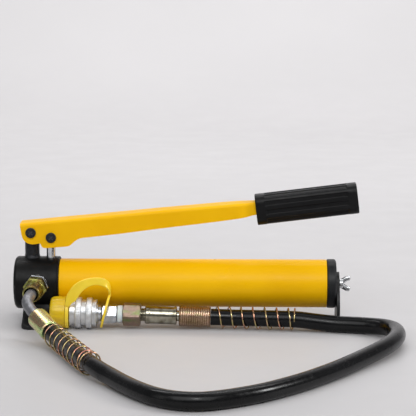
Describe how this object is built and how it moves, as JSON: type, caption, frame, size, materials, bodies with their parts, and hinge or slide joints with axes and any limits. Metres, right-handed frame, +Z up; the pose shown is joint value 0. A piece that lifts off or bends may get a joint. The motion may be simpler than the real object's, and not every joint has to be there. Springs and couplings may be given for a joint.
{
  "type": "hydraulic hand pump",
  "caption": "Hand-lever hydraulic pump with a tubular reservoir, cast foot, rear bracket, high-pressure hose with spring guards, and a screw coupler under a tethered dust cap.",
  "frame": {"origin": "middle of the front foot's flat underside, straight below the middle of the pump head", "axes": "+Z up, away from the ground; +X along the reservoir, from the pump head to the rear cap"},
  "size_m": [0.4074, 0.4066, 0.1495],
  "materials": {
    "yellow_paint": "gloss yellow enamel",
    "black_paint": "satin black paint",
    "cast_iron_black": "satin black paint on a casting",
    "black_oxide": "black oxide",
    "chrome": "hard chrome",
    "steel": "bright steel",
    "spring_steel": "drawn wire",
    "zinc_silver": "clear zinc plate",
    "zinc_yellow": "yellow chromate zinc plate",
    "spring_zinc": "yellow chromate zinc wire",
    "pipe_grey": "satin grey",
    "grip_plastic": "satin moulded",
    "cap_plastic": "soft moulded",
    "hose_rubber": "smooth satin cover",
    "seal_rubber": "matt",
    "ptfe": "waxy white",
    "brass": "turned"
  },
  "bodies": {
    "root": {"pump_head": "black_paint", "head_oring": "seal_rubber", "delivery_ball": "steel", "delivery_spring": "spring_steel", "delivery_plug": "black_oxide", "suction_ball": "steel", "suction_seat": "brass", "suction_tube": "ptfe", "suction_filter": "brass", "relief_ball": "steel", "relief_spring": "spring_steel", "relief_screw": "black_oxide", "release_gland": "black_oxide", "plunger_gland": "black_oxide", "plunger_seal": "seal_rubber", "fulcrum_post": "black_oxide", "fulcrum_pin": "black_oxide", "fulcrum_clip": "steel", "tank_tube": "yellow_paint", "end_cap": "black_paint", "cap_oring": "seal_rubber", "oil_bladder": "seal_rubber", "bladder_clamp": "steel", "rear_bracket": "black_paint", "front_foot": "cast_iron_black", "foot_screw_near": "black_oxide", "foot_screw_far": "black_oxide", "port_adapter": "zinc_silver", "port_washer": "steel", "swivel_nut": "zinc_yellow", "bent_pipe": "pipe_grey", "near_ferrule": "zinc_yellow", "near_spring_guard": "spring_zinc", "hose": "hose_rubber", "far_spring_guard": "spring_zinc", "far_ferrule": "zinc_yellow", "hose_tail": "zinc_silver", "hose_adapter": "zinc_yellow", "thread_tape": "ptfe", "coupler_body": "zinc_silver", "poppet_spring": "spring_steel", "cap_strap": "cap_plastic"},
    "lever": {"lever": "yellow_paint", "grip": "grip_plastic", "plunger_pin": "black_oxide", "plunger_clip": "steel"},
    "plunger": {"plunger": "chrome"},
    "release_valve": {"release_spindle": "steel", "release_knob": "grip_plastic"},
    "wing_screw": {"wing_screw": "chrome"},
    "coupler_collar": {"coupler_collar": "zinc_silver"},
    "dust_cap": {"dust_cap": "cap_plastic"},
    "coupler_poppet": {"coupler_poppet": "steel"}
  },
  "joints": [
    {"name": "lever_pivot", "type": "hinge", "parent": "root", "child": "lever", "pos_m": [-0.0057, 0, 0.097], "axis": [0, -1, 0], "range_deg": [-6, 42]},
    {"name": "plunger_slide", "type": "slide", "parent": "root", "child": "plunger", "axis": [0, 0, 1], "range_m": [-0.0024, 0.0158]},
    {"name": "release_knob_turn", "type": "hinge", "parent": "root", "child": "release_valve", "pos_m": [-0.009, 0.03, 0.033], "axis": [0, 1, 0], "range_deg": [0, 360]},
    {"name": "wing_screw_turn", "type": "hinge", "parent": "root", "child": "wing_screw", "pos_m": [0.31955, 0, 0.041], "axis": [1, 0, 0], "continuous": true},
    {"name": "coupler_collar_turn", "type": "hinge", "parent": "root", "child": "coupler_collar", "pos_m": [0.05199, -0.03932, 0.01686], "axis": [0.9996, 0, -0.0297], "continuous": true},
    {"name": "dust_cap_turn", "type": "hinge", "parent": "root", "child": "dust_cap", "pos_m": [0.03199, -0.03932, 0.01746], "axis": [0.9996, 0, -0.0297], "continuous": true},
    {"name": "coupler_poppet_press", "type": "slide", "parent": "root", "child": "coupler_poppet", "axis": [0.9996, 0, -0.0297], "range_m": [0, 0.004], "stiffness_N_per_m": 600, "springref_m": -0.002, "deforming": ["poppet_spring"]}
  ],
  "couplings": [
    {"joint": "plunger_slide", "follows": "lever_pivot", "m_per_rad": 0.0213}
  ]
}
